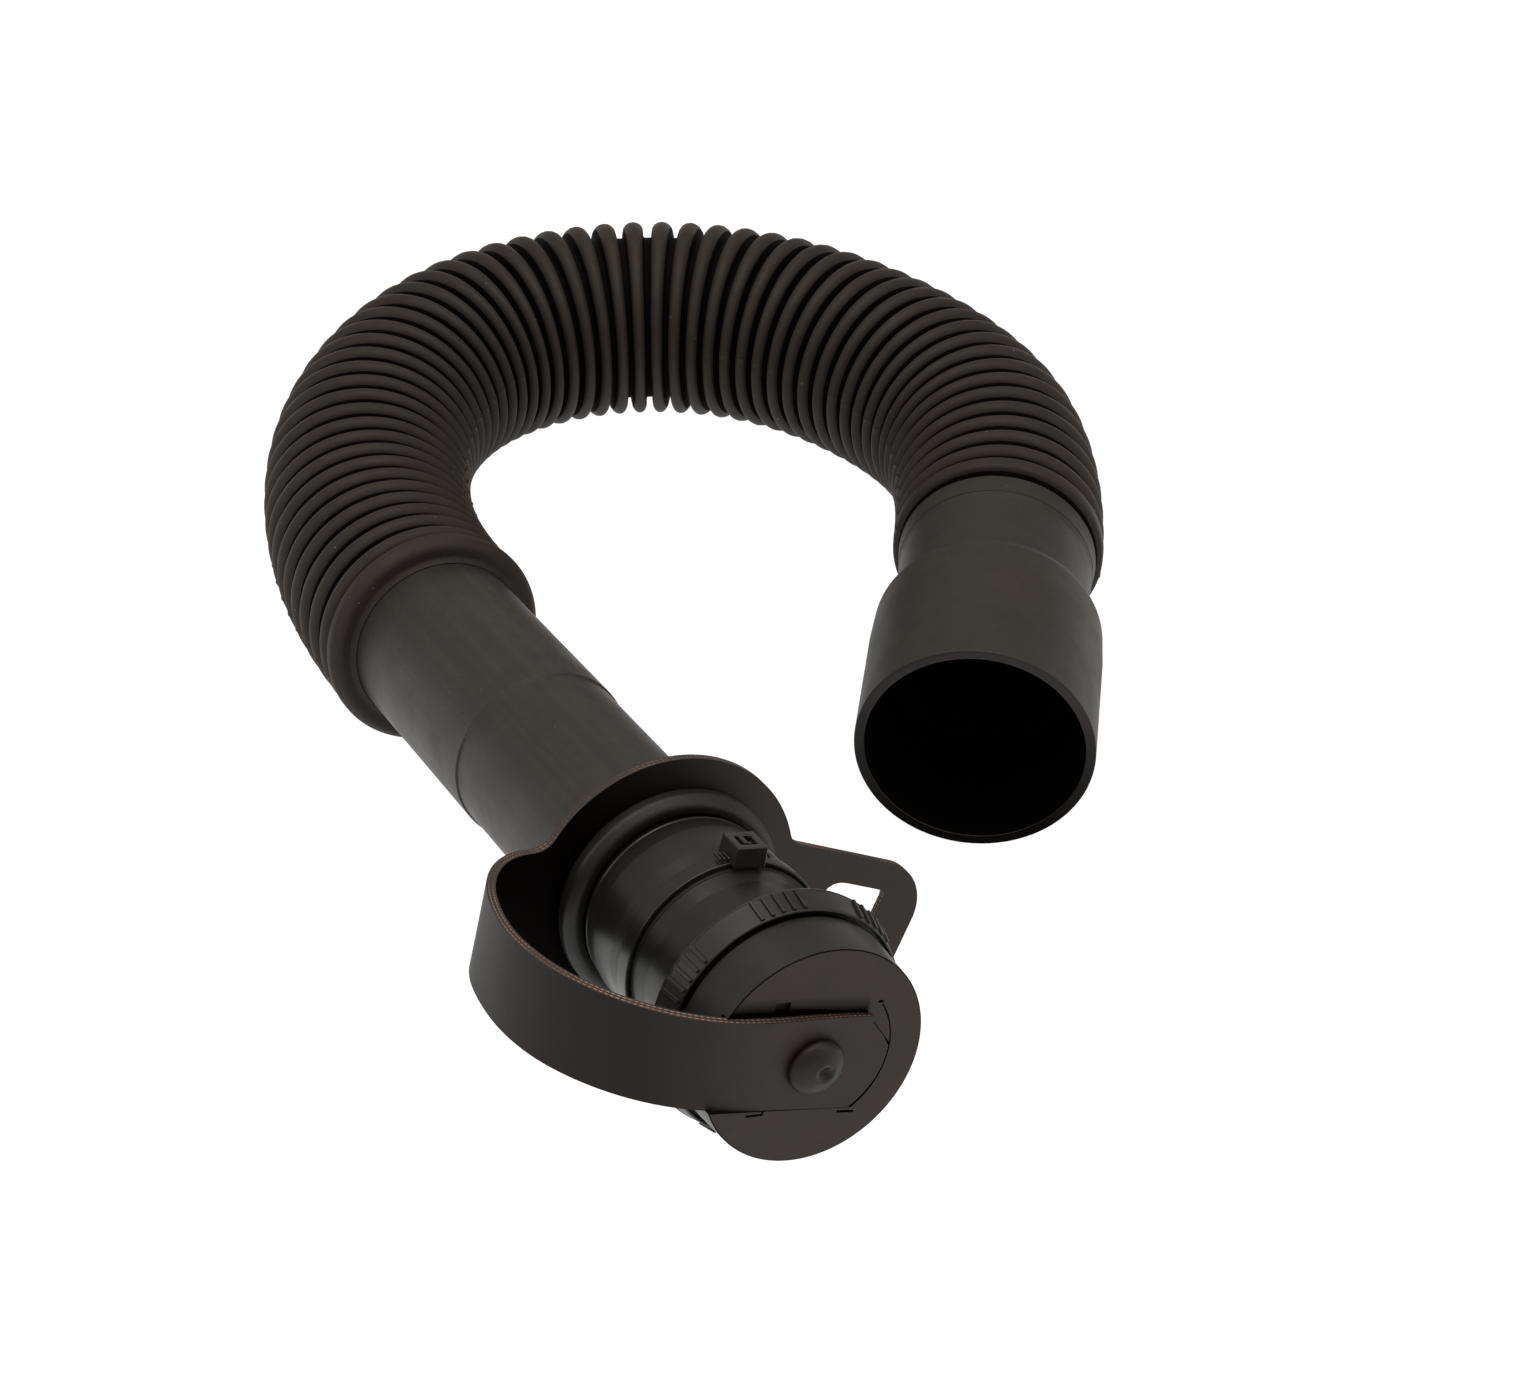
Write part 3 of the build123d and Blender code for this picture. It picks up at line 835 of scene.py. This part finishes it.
# ---- cap ----
GRIP_REAR = 209.4
GRIP_FRONT = 216.9
GRIP_REAR_RADIUS = 32.4
GRIP_FRONT_RADIUS = 30.6
RIB_GROUPS = 7
RIBS_IN_GROUP = 5
RIB_SPACING = radians(5.2)
RIB_FIRST_GROUP = radians(86.5)
RIB_HEIGHT = 0.8
RIB_WIDTH = 0.95
FACE = 231.6
BOSS_RADIUS = 28.3
BOSS_BASE = 29.1
INNER_WALL = 226.0
RECESS_LOWER = 14.35
RECESS_UPPER = 10.9
RECESS_END = 20.1
RECESS_TOP_TURN = radians(8)
GAP_RIGHT = 10.2
RECESS_DEPTH = 2.5
WEDGE_LEFT = -26.0
SLIT_DEPTH = 1.2
PAST_FACE = 5.0
STRAP_OFFSET = -1.7


def build_grip():
    ring = revolve("grip", spout, [
        (22.9, GRIP_REAR, 0.3), (GRIP_REAR_RADIUS - 0.25, GRIP_REAR, 0.5),
        (GRIP_REAR_RADIUS, GRIP_REAR + 0.9, 0.2), (GRIP_REAR_RADIUS - 0.25, GRIP_REAR + 1.1, 0.1),
        (GRIP_FRONT_RADIUS, GRIP_FRONT, 0.5), (30.0, GRIP_FRONT, 0.2), (30.0, 211.3, 0.5),
        (25.2, 211.3, 0.5), (25.2, 217.5, 0.3), (22.9, 217.5, 0.3)], cap_plastic, FINE_ROUND)
    dress(ring, "cap_grip", "grip_ring")
    slope = Vector((GRIP_FRONT - GRIP_REAR, GRIP_FRONT_RADIUS - GRIP_REAR_RADIUS)).normalized()
    length = (GRIP_FRONT - GRIP_REAR) - 1.3
    build = bmesh.new()
    for group in range(RIB_GROUPS):
        for rib in range(RIBS_IN_GROUP):
            turn = RIB_FIRST_GROUP + 2 * pi * group / RIB_GROUPS
            turn += (rib - (RIBS_IN_GROUP - 1) / 2) * RIB_SPACING
            outward = spout.outward(turn)
            along = spout.along * slope.x + outward * slope.y
            away = outward * slope.x - spout.along * slope.y
            station = (GRIP_REAR + GRIP_FRONT) / 2 + 0.3
            radius = (GRIP_REAR_RADIUS + GRIP_FRONT_RADIUS) / 2 - 0.2
            box_into(build, spout.at(station, radius, turn), (along.cross(away), along, away),
                     (RIB_WIDTH, length, 2 * RIB_HEIGHT))
    ribs = finish_mesh(build, "grip_ribs", cap_plastic)
    bevelled(ribs, 0.18, 2)
    keep_faces_flat(ribs)
    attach(ribs, "cap_grip")


def block_between(name, first, last):
    """Closed block between two outlines of equally many places, as a cutter."""
    build = bmesh.new()
    loops = [[build.verts.new(place) for place in outline] for outline in (first, last)]
    build.faces.new(loops[0])
    build.faces.new(loops[1][::-1])
    quads_between(build, *loops)
    return finish_mesh(build, name, cap_plastic)


def face_place(right, up, x, y, station):
    return spout.at(station) + (right * x + up * y) * MM


def prism(name, outline, right, up, low, high):
    """Closed block over an outline of (right, up) points, from one station to another."""
    return block_between(name, *([face_place(right, up, x, y, station) for x, y in outline]
                                 for station in (low, high)))


def wedge(right, up):
    """Sloping hollow above the strap's upper edge, wider and shallower towards the left."""
    near = RECESS_UPPER - 0.3
    ends = []
    for x, far, deep in ((WEDGE_LEFT, RECESS_UPPER + 4.0, 0.1),
                         (GAP_RIGHT + 1.0, RECESS_UPPER + 1.2, RECESS_DEPTH - 0.1)):
        corners = ((near, FACE - deep), (far, FACE + 0.01), (far, FACE + 4), (near, FACE + 4))
        ends.append([face_place(right, up, x, y, station) for y, station in corners])
    return block_between("wedge", *ends)


# each slit is ((start), (end), half width), in (side, up) millimetres from the axis
FACE_SLITS = [
    ((-5.6, 15.6), (-9.4, 16.6), 1.9), ((-14.3, -11.1), (-18.6, -9.9), 0.3),
    ((-14.1, -10.0), (-14.4, -11.2), 0.3), ((4.9, -17.9), (9.3, -19.5), 0.35),
    ((17.2, 9.1), (18.5, 8.8), 0.35),
]


def build_disc():
    disc = revolve("cap", spout, [
        (0, INNER_WALL, 0), (25.5, INNER_WALL, 0.4), (25.5, 211.6, 0.3), (29.6, 211.6, 0.3),
        (29.6, 213.0, 0.3), (27.7, 213.0, 0.3), (27.7, GRIP_FRONT, 0.2),
        (BOSS_BASE, GRIP_FRONT + 0.6, 0.3), (BOSS_RADIUS, FACE, 0.28), (0, FACE, 0)],
        cap_plastic, FINE_ROUND, flat=False)
    right, up = face_directions()
    low_turn = -atan2(RECESS_LOWER, (RECESS_END**2 - RECESS_LOWER**2) ** 0.5)
    steps = 24
    end_arc = [(RECESS_END * cos(t), RECESS_END * sin(t))
               for t in (low_turn + (RECESS_TOP_TURN - low_turn) * k / steps
                         for k in range(steps + 1))]
    outline = end_arc + [(13.3, 9.2), (12.9, RECESS_UPPER), (-40, RECESS_UPPER),
                         (-40, -RECESS_LOWER)]
    carve(disc, prism("recess", outline, right, up, FACE - RECESS_DEPTH, FACE + PAST_FACE))
    arc_slit = []
    for radius, order in ((RECESS_END - 0.32, 1), (RECESS_END + 0.05, -1)):
        turns = [RECESS_TOP_TURN - 0.03 + (pi / 4 - RECESS_TOP_TURN) * k / 12 for k in range(13)]
        arc_slit += [(radius * cos(t), radius * sin(t)) for t in turns[::order]]
    carve(disc, prism("slit", arc_slit, right, up, FACE - SLIT_DEPTH, FACE + PAST_FACE))
    carve(disc, wedge(right, up))
    for start, end, half in FACE_SLITS:
        first, second = Vector(start), Vector(end)
        across = (second - first).normalized().orthogonal() * half
        slit = [tuple(p) for p in (first - across, second - across, second + across, first + across)]
        carve(disc, prism("slit", slit, spout.side, spout.up, FACE - SLIT_DEPTH, FACE + PAST_FACE))
    disc.data.materials.append(cap_face_painted_shade)
    disc.data.materials.append(groove_painted_shade)
    # the face takes its painted-shade material; the recess floor and walls, slit walls and the face's
    # rounded rim take the grooves' near-black painted shade
    for polygon in disc.data.polygons:
        station = (polygon.center - spout.origin).dot(spout.along) / MM
        facing = polygon.normal.dot(spout.along)
        reach = (polygon.center - spout.origin - spout.along * station * MM).length / MM
        if facing > 0.6 and station > FACE - RECESS_DEPTH + 0.1 and reach < BOSS_RADIUS - 0.3:
            polygon.material_index = 1
        elif station > FACE - RECESS_DEPTH - 0.3 and reach < BOSS_RADIUS - 0.9:
            polygon.material_index = 2
        elif station > FACE - 0.3 and reach > BOSS_RADIUS - 0.3:
            polygon.material_index = 2
        polygon.use_smooth = True
    disc.data.set_sharp_from_angle(angle=radians(30))
    keep_faces_flat(disc)
    dress(disc, "cap_core", "cap_disc")


RIVET_RADIUS = 7.3
RIVET_DOME = 4.4
RIVET_LIFT = 0.9
RIVET_LEAN = 0.08
RIVET_RIM = 0.7
RIVET_RINGS = 28
DIMPLE = (0.5, 0.3)
DIMPLE_DEPTH = 1.6
DIMPLE_WIDTH = 1.45
LIP_RADIUS = 2.7
LIP_WIDTH = 0.7
LIP_HEIGHT = 0.14


def build_rivet():
    right, up = face_directions()
    foot = spout.at(FACE + RIVET_LIFT) + up * STRAP_OFFSET * MM
    lift = Line(foot, spout.along - up * RIVET_LEAN + right * RIVET_LEAN * 0.7)
    outline = [Vector(corner) for corner in ((0, -0.6), (RIVET_RADIUS - 1.1, -0.6),
                                             (RIVET_RADIUS - 1.1, 0.1), (RIVET_RADIUS, 0.3),
                                             (RIVET_RADIUS, RIVET_RIM))]
    for step in range(1, RIVET_RINGS + 1):
        turn = pi / 2 * step / RIVET_RINGS
        outline.append(Vector((RIVET_RADIUS * cos(turn),
                               RIVET_RIM + (RIVET_DOME - RIVET_RIM) * sin(turn))))
    build = revolve_mesh(lift, outline, 96)
    dimple_at = right * DIMPLE[0] + up * DIMPLE[1]
    for vertex in build.verts:
        place = (vertex.co - lift.origin) / MM
        height = place.dot(lift.along)
        if height < RIVET_RIM - 0.1:
            continue
        away = (place - lift.along * height - dimple_at).length
        vertex.co -= lift.along * DIMPLE_DEPTH * exp(-(away / DIMPLE_WIDTH) ** 2) * MM
        vertex.co += lift.along * LIP_HEIGHT * exp(-((away - LIP_RADIUS) / LIP_WIDTH) ** 2) * MM
    dome = finish_mesh(build, "rivet", dome_plastic)
    keep_faces_flat(dome)
    dress(dome, "cap_core", "strap_rivet")


# ---- strap: cut from one flat sheet, then bent round to the cap's face ----
STRAP_THICKNESS = 2.3
STRAP_RING = 36.5
STRAP_HOLE = 24.45
STRAP_UPPER = 10.8
STRAP_LOWER = -14.2
NOTCH_ROUND = 6.0
TAB_NOTCH_ROUND = 5.0
STRAP_END = 19.35
STRAP_END_TURN = radians(7.5)
LIFT_TURN = radians(7.5)
END_TURN = radians(2.0)
EASE_LENGTH = 38.0
TWIST_START = 15.0
TWIST_LENGTH = 45.0
TAB_TILT = radians(30)
TAB_REACH = 77.8
TAB_HALF = 19.2
TAB_UPPER_CORNER = 14.0
TAB_LOWER_CORNER = 13.0
GRID = 2.0
PLATE_END = 30.0
OUTLINE_SPACING = 1.5
FLEX_STATIONS = (160.0, 226.0)
FLEX_REACH = 55.0
PLATE_STATION = STRAP_PLATE_REAR + STRAP_THICKNESS / 2
FACE_LEVEL = FACE - STRAP_THICKNESS / 2
band_route = [
    (30.0, PLATE_STATION), (40.0, PLATE_STATION), (49.5, 155.5), (56.0, 166.0), (58.6, 179.0),
    (58.8, 193.0), (55.0, 206.5), (46.0, 218.5), (34.0, 226.5), (20.0, 229.8), (4.0, FACE_LEVEL),
    (-24.0, FACE_LEVEL),
]
band_track = Track(route_points([(h * MM, 0.0, s * MM) for h, s in band_route]))


def band_reach_at(left):
    """Distance along the band, in millimetres, where it passes over the axis at the cap's face."""
    low, high = band_track.length * 0.6, band_track.length
    for _ in range(40):
        middle = (low + high) / 2
        if band_track.place(middle).x / MM > left:
            low = middle
        else:
            high = middle
    return PLATE_END + low / MM


def arc(x, y, radius, start, end):
    steps = max(2, ceil(abs(end - start) * radius / 1.2))
    return [Vector((x + radius * cos(start + (end - start) * k / steps),
                    y + radius * sin(start + (end - start) * k / steps))) for k in range(steps + 1)]


def notch(edge, radius, direction_turn, side):
    """Centre of the round between the strap's ring and a straight edge beside it.

    edge is how far the straight edge is from the ring's centre line, side is +1 or -1.
    """
    away = edge + radius
    reach = ((STRAP_RING + radius) ** 2 - away**2) ** 0.5
    c, s = cos(direction_turn), sin(direction_turn)
    x, y = reach, side * away
    return Vector((x * c - y * s, x * s + y * c))


def heading(vector):
    return atan2(vector.y, vector.x)


def nearest_turn(start, end):
    """The end turned by whole circles until it is within half a circle of the start."""
    return start + (end - start + pi) % (2 * pi) - pi


def strap_outline():
    """Outline of the flat strap: x runs left along the band and y runs up, the ring round (0, 0)."""
    over_axis = band_reach_at(0.0)
    points = []
    band_up = notch(STRAP_UPPER, NOTCH_ROUND, 0.0, 1)
    band_down = notch(-STRAP_LOWER, NOTCH_ROUND, 0.0, -1)
    tab_turn = pi + TAB_TILT - STRAP_TILT
    tab_up = notch(TAB_HALF, TAB_NOTCH_ROUND, tab_turn, -1)
    tab_down = notch(TAB_HALF, TAB_NOTCH_ROUND, tab_turn, 1)
    along = Vector((cos(tab_turn), sin(tab_turn)))
    across = Vector((-along.y, along.x))

    # once round: band's upper edge, ring, tab, ring again, band's lower edge, rounded end
    points += arc(*band_up, NOTCH_ROUND, -pi / 2, heading(-band_up) % (2 * pi) - 2 * pi)
    points += arc(0, 0, STRAP_RING, heading(band_up), heading(tab_up))
    start = heading(-tab_up)
    points += arc(*tab_up, TAB_NOTCH_ROUND, start, nearest_turn(start, heading(across)))
    corner = along * TAB_REACH
    for sign, radius in ((-1, TAB_UPPER_CORNER), (1, TAB_LOWER_CORNER)):
        centre = corner - along * radius + across * sign * (TAB_HALF - radius)
        first = heading(-across) if sign < 0 else heading(along)
        points += arc(*centre, radius, first, first + pi / 2)
    start = heading(-across)
    points += arc(*tab_down, TAB_NOTCH_ROUND, start, nearest_turn(start, heading(-tab_down)))
    points += arc(0, 0, STRAP_RING, heading(tab_down) % (2 * pi), heading(band_down) % (2 * pi))
    start = heading(-band_down)
    points += arc(*band_down, NOTCH_ROUND, start, nearest_turn(start, pi / 2))
    low_turn = -atan2(-STRAP_LOWER, (STRAP_END**2 - STRAP_LOWER**2) ** 0.5)
    points += arc(over_axis, 0, STRAP_END, low_turn, STRAP_END_TURN)
    points += [Vector((over_axis + x, y)) for x, y in ((17.5, 4.8), (15.4, 6.9), (13.2, 9.0),
                                                       (12.8, 9.7), (12.7, STRAP_UPPER))]
    return points


def tab_hole():
    turn = pi + TAB_TILT - STRAP_TILT
    corners = rounded([(47, -11.4, 6), (66, -11.4, 2.5), (66, 11.4, 2.5), (47, 11.4, 6)])
    return [Vector((x * cos(turn) - y * sin(turn), x * sin(turn) + y * cos(turn))) for x, y in corners]


def even(points):
    """The closed outline again, with extra points on its long edges and no doubled ones."""
    result = []
    for index, point in enumerate(points):
        following = points[(index + 1) % len(points)]
        length = (following - point).length
        if length < 0.05:
            continue
        steps = max(1, ceil(length / OUTLINE_SPACING))
        result += [point.lerp(following, step / steps) for step in range(steps)]
    return result


def inside(point, outline):
    hit = False
    for first, second in zip(outline, outline[1:] + outline[:1]):
        if (first.y > point.y) != (second.y > point.y):
            crossing = first.x + (point.y - first.y) / (second.y - first.y) * (second.x - first.x)
            if point.x < crossing:
                hit = not hit
    return hit


STRAP_END_REACH = band_reach_at(-10.0)


def strap_place(x, y, depth):
    """Where a point of the flat strap goes; depth runs from its back (-1) to its front (+1)."""
    right, across = face_directions()
    left = -right
    if x <= PLATE_END:
        centre = spout.at(PLATE_STATION) + left * x * MM
        along = left
        twist = 0.0
    else:
        distance = (x - PLATE_END) * MM
        spot = band_track.place(distance)
        onward = band_track.direction(distance, 0.0008)
        centre = spout.origin + left * spot.x + spout.along * spot.z
        along = (left * onward.x + spout.along * onward.z).normalized()
        share = min(max((x - PLATE_END - TWIST_START) / TWIST_LENGTH, 0.0), 1.0)
        eased = min(max((STRAP_END_REACH - x) / EASE_LENGTH, 0.0), 1.0)
        twist = END_TURN + (LIFT_TURN - END_TURN) * eased * eased * (3 - 2 * eased)
        twist *= share * share * (3 - 2 * share)
    facing = across.cross(along)
    width = across * cos(twist) - facing * sin(twist)
    facing = facing * cos(twist) + across * sin(twist)
    low_edge = centre + across * STRAP_LOWER * MM
    return low_edge + (width * (y - STRAP_LOWER) + facing * depth * STRAP_THICKNESS / 2) * MM


EDGE_LAYERS = (-1.0, -0.6, -0.2, 0.2, 0.6, 1.0)


def flat_sheet(outline, holes):
    """Points and triangles of the flat strap; the points of the loops come first, in order."""
    points = []
    edges = []
    for loop in [outline, *holes]:
        start = len(points)
        edges += [(start + k, start + (k + 1) % len(loop)) for k in range(len(loop))]
        points += loop
    border = list(points)
    low, high = (Vector((pick(p.x for p in outline), pick(p.y for p in outline)))
                 for pick in (min, max))

    def in_sheet(spot):
        return inside(spot, outline) and not any(inside(spot, hole) for hole in holes)

    for row in range(int((high.y - low.y) / GRID)):
        for column in range(int((high.x - low.x) / GRID)):
            spot = low + Vector((column + 0.5 * (row % 2) + 0.25, row + 0.5)) * GRID
            if in_sheet(spot) and min((spot - point).length for point in border) > GRID * 0.55:
                points.append(spot)
    flat, _, triangles, _, _, _ = delaunay_2d_cdt(points, edges, [], 0, 1e-5)
    return flat, [corners for corners in triangles
                  if in_sheet(sum((flat[index] for index in corners), Vector((0, 0))) / 3)]


def add_cut_edge(build, uv, flat, sheets, start, count):
    """The cut edge along one loop, in layers from the strap's back to its front."""
    columns = []
    for k in range(start, start + count):
        between = [build.verts.new(strap_place(flat[k].x, flat[k].y, depth))
                   for depth in EDGE_LAYERS[1:-1]]
        columns.append([sheets[0][k], *between, sheets[1][k]])
    run = 0.0
    for k in range(count):
        after = (k + 1) % count
        step = (flat[start + after] - flat[start + k]).length
        for layer in range(len(EDGE_LAYERS) - 1):
            face = build.faces.new((columns[k][layer], columns[after][layer],
                                    columns[after][layer + 1], columns[k][layer + 1]))
            face.material_index = 1
            places = ((run, layer), (run + step, layer), (run + step, layer + 1), (run, layer + 1))
            for corner, (u, level) in zip(face.loops, places):
                corner[uv].uv = (u, (EDGE_LAYERS[level] + 1) / 2)
        run += step


def build_strap():
    outline = even(strap_outline())
    holes = [even(arc(0, 0, STRAP_HOLE, 0, 2 * pi)[:-1]), even(tab_hole())]
    flat, faces = flat_sheet(outline, holes)
    build = bmesh.new()
    sheets = [[build.verts.new(strap_place(p.x, p.y, depth)) for p in flat] for depth in (-1, 1)]
    for corners in faces:
        build.faces.new([sheets[0][index] for index in corners])
        # the front sheet, the strap's inner side, takes material 2 with its painted shade
        face = build.faces.new([sheets[1][index] for index in reversed(corners)])
        face.material_index = 2
    uv = build.loops.layers.uv.new("edge")
    start = 0
    for loop in [outline, *holes]:
        add_cut_edge(build, uv, flat, sheets, start, len(loop))
        start += len(loop)
    for vertex in [v for v in build.verts if not v.link_faces]:
        build.verts.remove(vertex)
    piece = finish_mesh(build, "strap", strap_rubber)
    piece.data.materials.append(edge_rubber)
    piece.data.materials.append(loop_side_painted_shade)
    piece.data.set_sharp_from_angle(angle=radians(50))
    keep_faces_flat(piece)
    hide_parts("tether_strap")
    left = -face_directions()[0]
    start, end = (tuple(spout.at(station) + left * FLEX_REACH * MM) for station in FLEX_STATIONS)
    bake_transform(piece)


def dress_hidden_pieces():
    """Inner CAD pieces keep their own meshes and get a material each."""
    for node, material in (("cap_gasket", gasket_rubber), ("rivet_washer", washer_steel),
                           ("retaining_ring", cap_plastic)):
        mesh = frame["nodes"][node].data
        mesh.materials.clear()
        mesh.materials.append(material)


build_socket()
build_spout()
build_tie()
build_grip()
build_disc()
build_rivet()
build_strap()
dress_hidden_pieces()


# ---- studio ----
WARM_LIGHT = (1.0, 0.93, 0.86)
FLOOR_HALF = 6.0


def add_light(name, place, target, size, power):
    data = bpy.data.lights.new(name, "AREA")
    data.shape = "RECTANGLE"
    data.size, data.size_y = size
    data.energy = power
    data.color = WARM_LIGHT
    lamp = bpy.data.objects.new(name, data)
    lamp.location = place
    lamp.rotation_euler = (Vector(target) - Vector(place)).to_track_quat("-Z", "Y").to_euler()
    bpy.context.scene.collection.objects.link(lamp)


def add_studio():
    build = bmesh.new()
    bmesh.ops.create_grid(build, x_segments=2, y_segments=2, size=FLOOR_HALF)
    mesh = bpy.data.meshes.new("floor")
    build.to_mesh(mesh)
    build.free()
    material, tree, shader = base_material("floor")
    coordinates = object_coordinates(tree)
    paper = ramp(tree, noise(tree, coordinates, 3.0), ((0.3, (0.10, 0.10, 0.10)),
                                                       (0.7, (0.12, 0.12, 0.12))))
    link(tree, paper, shader.inputs["Base Color"])
    fill(shader, Roughness=0.9, Emission_Color=(1.0, 1.0, 1.0, 1.0), Emission_Strength=1.0)
    floor = new_object("floor", mesh, material, smooth=False)
    world = bpy.data.worlds.new("studio")
    bpy.context.scene.world = world
    world.use_nodes = True
    fill(world.node_tree.nodes["Background"], Color=(1.0, 0.94, 0.87, 1.0), Strength=0.50)
    add_light("top_softbox", (0.0, 0.1, 2.4), (0.0, 0.0, 0.0), (2.6, 2.2), 48.0)
    add_light("left_softbox", (-1.3, -0.6, 0.8), (0.0, -0.1, 0.03), (0.5, 1.2), 5.0)
    add_light("right_softbox", (1.3, -0.3, 0.9), (0.0, 0.0, 0.03), (0.5, 1.2), 4.0)
    bpy.context.scene.view_settings.view_transform = "Standard"


add_studio()
